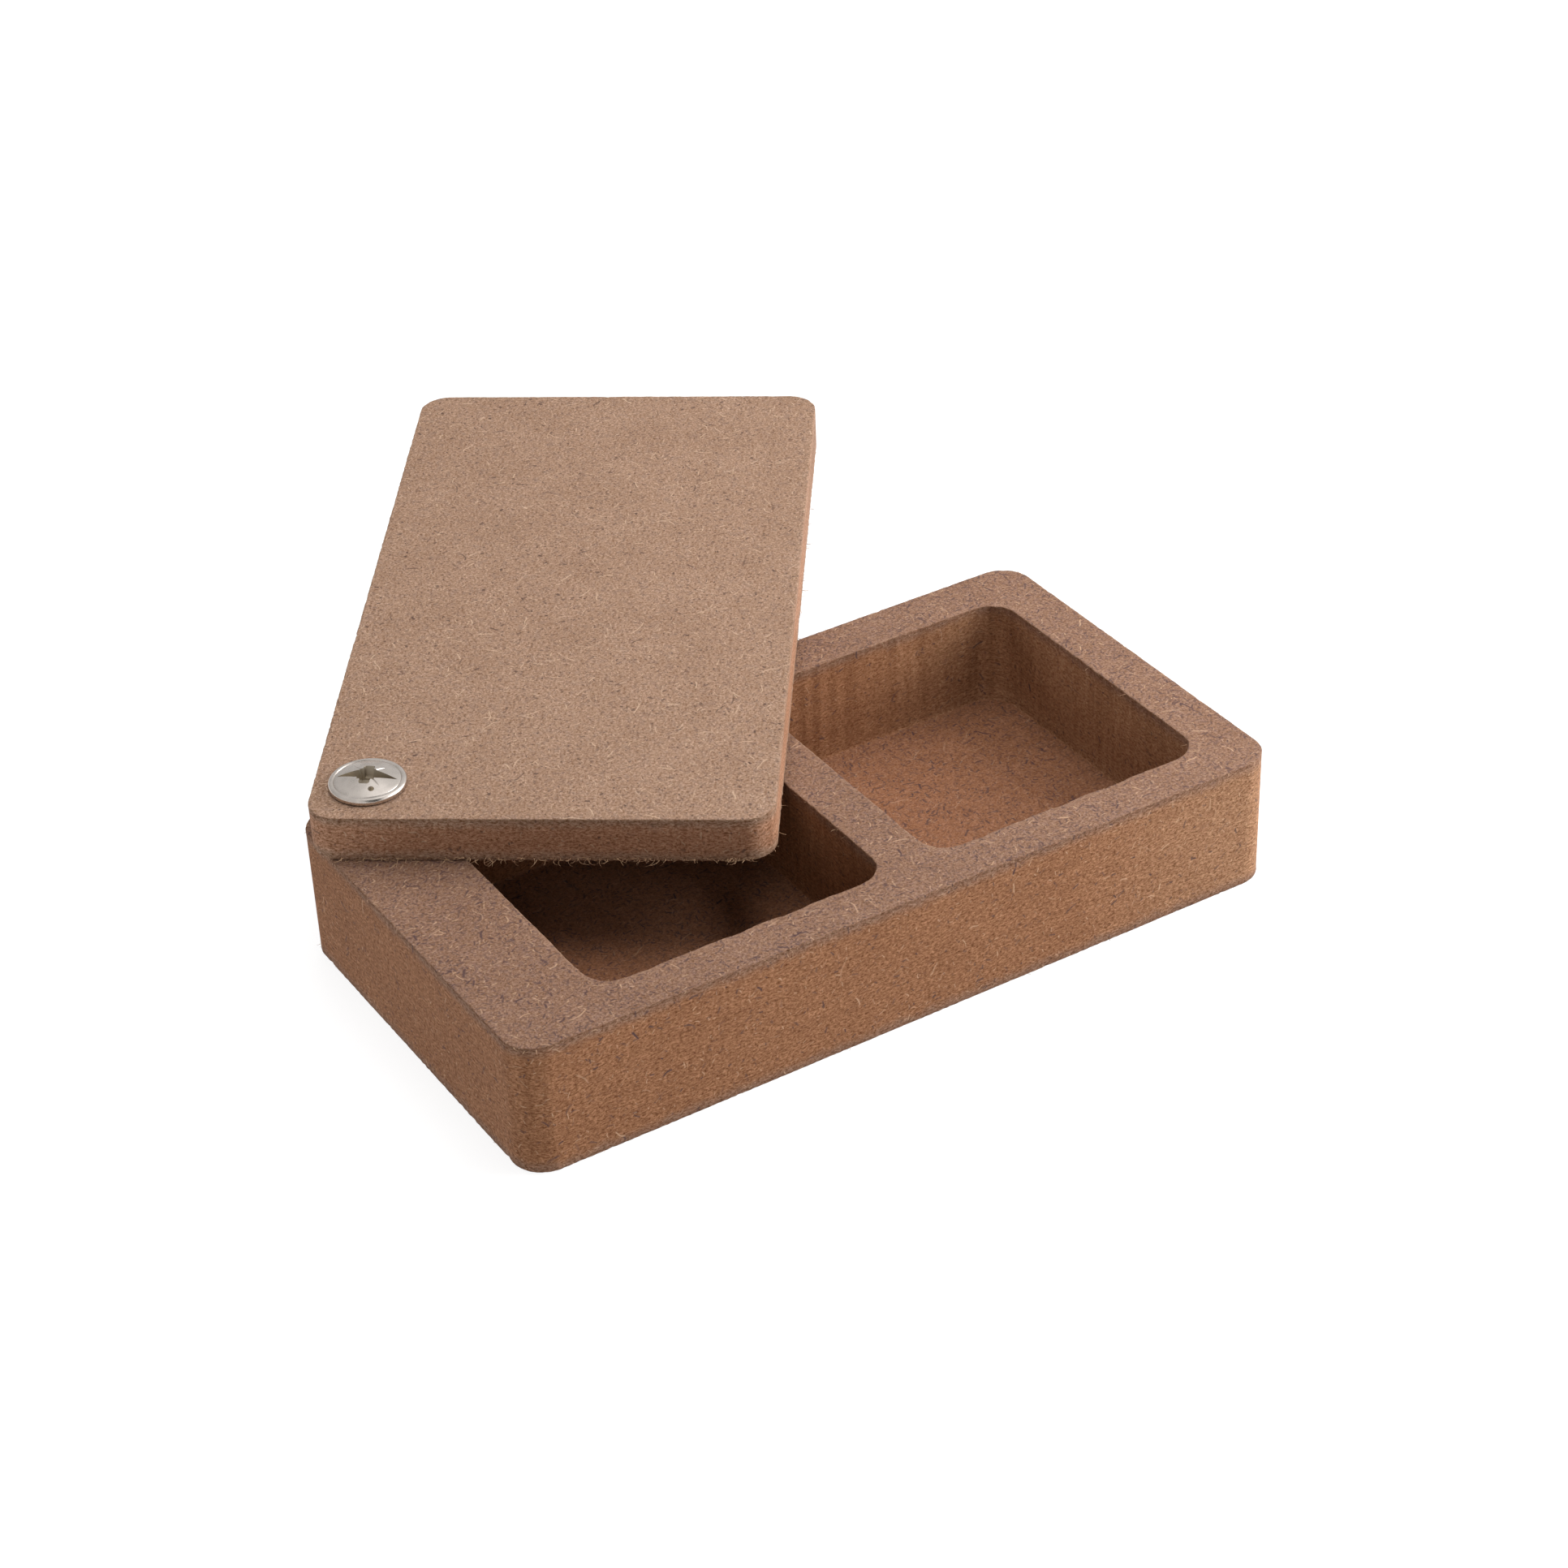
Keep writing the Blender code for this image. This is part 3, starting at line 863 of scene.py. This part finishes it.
def make_screw_head(material, painted_shade_nickel):
    """A low dome inside a flat ring with a shallow groove between them, and a rolled rim. The drive and the
    dimple take a darker nickel as painted shade.
    """
    base = lid_high.z + HEAD_BASE
    crown = screw_high.z
    rise = crown - base - HEAD_RING_HEIGHT
    radii = [HEAD_RING * k / DOME_STEPS for k in range(DOME_STEPS + 1)]
    profile = [(radius, crown - rise * dome_drop(radius)) for radius in radii]
    rolled = []
    for k in range(RIM_STEPS + 1):
        turn = math.radians(90 * k / RIM_STEPS)
        rolled.append((4.36 + RIM_ROLL * math.sin(turn), 0.36 + RIM_ROLL * math.cos(turn)))
    # The groove, the flat ring, its rolled rim and the underside, as (radius, height) in mm.
    ring = [(4.1, 0.71), (4.2, 0.79), (4.26, 0.8), *rolled, (4.8, 0.1), (4.7, 0.0)]
    profile += [(radius * MM, base + height * MM) for radius, height in ring]
    profile += [(SCREW_RADIUS, base), (0.0, base)]
    head = turned("screw_head", profile, PIVOT, material)

    spot = DIMPLE.copy()
    spot.z = crown - rise * dome_drop(spot.length)
    rings = []
    for radius, height in DIMPLE_RINGS:
        for k in range(16):
            angle = math.pi * k / 8
            rings.append((radius * math.cos(angle), radius * math.sin(angle), height))
    # The dimple and the drive's cut faces take a darker, browner nickel: painted shade in the recesses.
    dimple = hull("dimple", rings, Matrix.Translation(PIVOT + spot), painted_shade_nickel)
    carve(head, [*drive_cutters("screw", crown, rise, painted_shade_nickel), dimple])
    return head


def make_screw_thread(material):
    """The threaded shank, as one helical surface closed at both ends. It ends just inside the head."""
    top = lid_high.z + 0.2 * MM
    length = top - screw_low.z
    steps_up = round(length / THREAD_PITCH * THREAD_ROWS)
    bm = bmesh.new()
    rows = []
    for j in range(steps_up + 1):
        height = top - length * j / steps_up
        taper = min(1.0, (height - screw_low.z) / SHANK_TIP * (1 - TIP_SHARE) + TIP_SHARE)
        row = []
        for i in range(THREAD_SIDES):
            angle = 2 * math.pi * i / THREAD_SIDES
            phase = (height / THREAD_PITCH - i / THREAD_SIDES) % 1.0
            crest = 1.0 - min(1.0, abs(phase - 0.5) * 2.6)
            radius = (SCREW_RADIUS - THREAD_DEPTH * (1 - crest)) * taper
            spot = (PIVOT.x + radius * math.cos(angle), PIVOT.y + radius * math.sin(angle), height)
            row.append(bm.verts.new(spot))
        rows.append(row)
    for upper, lower in zip(rows, rows[1:]):
        for i in range(THREAD_SIDES):
            j = (i + 1) % THREAD_SIDES
            bm.faces.new((upper[i], lower[i], lower[j], upper[j]))
    bm.faces.new(rows[0])
    bm.faces.new(rows[-1])
    bmesh.ops.recalc_face_normals(bm, faces=bm.faces)
    thread = add_mesh("screw_thread", bm, material)
    smooth_between(thread, THREAD_SHARP_ANGLE)
    return thread


def make_nut(material):
    """The sleeve nut: a flat slotted head below and a smooth sleeve that the lid turns on."""
    head_top = box_low.z + NUT_HOLE_DEPTH - 0.1 * MM
    low = nut_low.z
    bore_end = nut_high.z - BORE_DEPTH
    profile = [(0.0, bore_end), (SLEEVE_BORE, bore_end), (SLEEVE_BORE, nut_high.z - 0.2 * MM)]
    profile += [(SLEEVE_BORE + 0.1 * MM, nut_high.z), (SLEEVE_RADIUS - 0.1 * MM, nut_high.z)]
    profile += [(SLEEVE_RADIUS, nut_high.z - 0.15 * MM), (SLEEVE_RADIUS, head_top)]
    profile += [(HEAD_RADIUS - 0.1 * MM, head_top), (HEAD_RADIUS, head_top - 0.1 * MM)]
    profile += [(HEAD_RADIUS, low + 0.35 * MM), (HEAD_RADIUS - 0.12 * MM, low + 0.12 * MM)]
    profile += [(HEAD_RADIUS - 0.4 * MM, low), (0.0, low)]
    nut = turned("nut", profile, PIVOT, material)
    x, y, depth = NUT_SLOT
    slot = [(sx * x, sy * y, z) for sx in (1, -1) for sy in (1, -1) for z in (depth, -1.0)]
    place = Matrix.Translation((PIVOT.x, PIVOT.y, low))
    carve(nut, [hull("nut_slot", slot, place, material)])
    return nut


# ---------------------------------------------------------------- scene

# The pale tent that shows only in reflections: its level, the way it brightens, its crown and its gap.
TENT_LEVEL = 0.8
TENT_SLOPE = Vector((0.156, -0.25, 0.128))
TENT_CROWN = Vector((0.35, 0.13, 0.927))
CROWN_EDGE = (math.cos(math.radians(28)), math.cos(math.radians(8)))
CROWN_GAIN = 0.45
TENT_GAP = Vector((-0.19, -0.982, 0.0))
FILL = 0.02

FLOOR_GLOW_AT = (0.15, 0.9)  # metres from the box's middle
FLOOR_GLOW = (0.78, 1.0)

# Name, azimuth, elevation, distance, size in metres, power in watts, and whether it shows in reflections.
SOFTBOXES = (
    ("overhead", 0, 90, 0.7, 0.6, 3.5, False),
    ("back", 60, 50, 0.7, 0.5, 1.55, False),
    ("back_left", 120, 20, 0.7, 0.5, 2.4, False),
    ("front_left", 240, 24, 0.7, 0.5, 1.25, False),
    ("front_right", 335, 30, 0.33, 0.32, 1.5, True),
    ("right", 350, 15, 0.3, 0.22, 0.7, False),
)

CAMERA_PLACE = Vector((-188.5, -314.6, 263.6)) * MM
CAMERA_TARGET = Vector((5.47, 0.93, 0.0)) * MM
CAMERA_ROLL = math.radians(-1.92)
CAMERA_LENS = 82.23
CAMERA_SHIFT = (-0.0264, 0.0661)


def make_stage():
    """A pale table that glows, less so near the box, where the lights add to it."""
    bm = bmesh.new()
    bmesh.ops.create_grid(bm, x_segments=1, y_segments=1, size=4.0)
    bmesh.ops.translate(bm, vec=(0, 0, box_low.z - 0.02 * MM), verts=bm.verts)
    material, g, shader = start_material("studio_floor")
    shader.inputs["Base Color"].default_value = (0.25, 0.25, 0.25, 1.0)
    shader.inputs["Roughness"].default_value = 0.95
    shader.inputs["Emission Color"].default_value = (1.0, 1.0, 1.0, 1.0)
    distance = g.node("ShaderNodeVectorMath", {0: g.place()}, operation="LENGTH").outputs["Value"]
    g.feed(shader.inputs["Emission Strength"], g.ramp(distance, *FLOOR_GLOW_AT, *FLOOR_GLOW))
    add_mesh("floor", bm, material)


def make_softbox(name, azimuth, elevation, distance, size, power, mirrored):
    """A round light that faces the box. Azimuth 0 is the right and 270 the front."""
    turn, rise = math.radians(azimuth), math.radians(elevation)
    across = Vector((math.cos(turn), math.sin(turn), 0.0))
    place = across * math.cos(rise) + Vector((0, 0, math.sin(rise)))
    light = bpy.data.lights.new(name, "AREA")
    light.shape = "DISK"
    light.size = size
    light.energy = power
    softbox = bpy.data.objects.new(name, light)
    softbox.location = place * distance
    softbox.rotation_euler = place.to_track_quat("Z", "Y").to_euler()
    softbox.visible_camera = False
    softbox.visible_glossy = mirrored
    bpy.context.scene.collection.objects.link(softbox)


def make_world():
    """White behind everything. Reflections show a pale tent, with a bright crown and a dark gap."""
    world = bpy.data.worlds.new("studio")
    world.use_nodes = True
    g = Graph(world.node_tree)
    way = g.node("ShaderNodeTexCoord").outputs["Generated"]
    crown = g.ramp(g.dot(way, TENT_CROWN), *CROWN_EDGE, 0.0, CROWN_GAIN)
    level = g.math("ADD", g.math("ADD", g.dot(way, TENT_SLOPE), TENT_LEVEL), crown)
    beside = g.math("ABSOLUTE", g.dot(way, TENT_GAP.cross(Vector((0, 0, 1)))))
    gap = g.math("MULTIPLY", g.ramp(beside, 0.26, 0.36, 0.97, 0.0), g.ramp(g.dot(way, TENT_GAP), 0.2, 0.4))
    tent = g.math("MULTIPLY", level, g.math("SUBTRACT", 1.0, gap))
    path = g.node("ShaderNodeLightPath").outputs
    strength = g.math("MULTIPLY_ADD", path["Is Glossy Ray"], tent, path["Is Camera Ray"])
    background = world.node_tree.nodes["Background"]
    g.feed(background.inputs["Strength"], g.math("ADD", strength, FILL))
    background.inputs["Color"].default_value = (1, 1, 1, 1)
    bpy.context.scene.world = world


def make_camera():
    """Stands in front and to the left, looking down on the open box, rolled by two degrees."""
    data = bpy.data.cameras.new("camera")
    camera = bpy.data.objects.new("camera", data)
    camera.location = CAMERA_PLACE
    aim = (CAMERA_TARGET - CAMERA_PLACE).to_track_quat("-Z", "Y")
    camera.rotation_euler = (aim.to_matrix() @ Matrix.Rotation(CAMERA_ROLL, 3, "Z")).to_euler()
    data.lens = CAMERA_LENS
    data.sensor_width = 36.0
    data.shift_x, data.shift_y = CAMERA_SHIFT
    data.clip_start = 0.01
    bpy.context.scene.collection.objects.link(camera)
    bpy.context.scene.camera = camera


def main():
    make_stage()
    for row in SOFTBOXES:
        make_softbox(*row)
    make_world()
    make_camera()
    bpy.context.scene.view_settings.view_transform = "Standard"

    box_material = make_board_material("box_fibreboard", BOX_LOOK)
    lid_material = make_board_material("lid_fibreboard", LID_LOOK)
    nickel = make_nickel("bright_nickel", (0.61, 0.55, 0.50, 1.0), 0.21)
    # The darker, browner nickel for the drive and the dimple is painted shade in the recesses; its higher
    # roughness is duller plating.
    recess_nickel_painted_shade = make_nickel("recess_nickel_painted_shade", (0.46, 0.40, 0.32, 1.0), 0.42)
    nut_nickel = make_nickel("nut_nickel", (0.56, 0.53, 0.49, 1.0), 0.36)
    fibre = make_fibre_material()

    plan = (
        (make_box_board(box_material), "box", ["box_body"], "box_board"),
        (make_lid_board(lid_material), "lid", ["lid"], "lid_board"),
        (make_screw_head(nickel, recess_nickel_painted_shade), "box", ["pivot_screw"], "nickel"),
        (make_screw_thread(nickel), "box", [], "nickel"),
        (make_nut(nut_nickel), "box", ["sleeve_nut"], "nut_nickel"),
        (make_lid_strands(fibre), "lid", [], "lid_board"),
        (make_box_strands(fibre), "box", [], "box_board"),
    )
    # Each row is the piece, its body, the CAD nodes that it replaces, and its slot.
    for piece, body, nodes, slot in plan:
        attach(piece, body)
        if nodes:
            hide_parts(*nodes)


main()
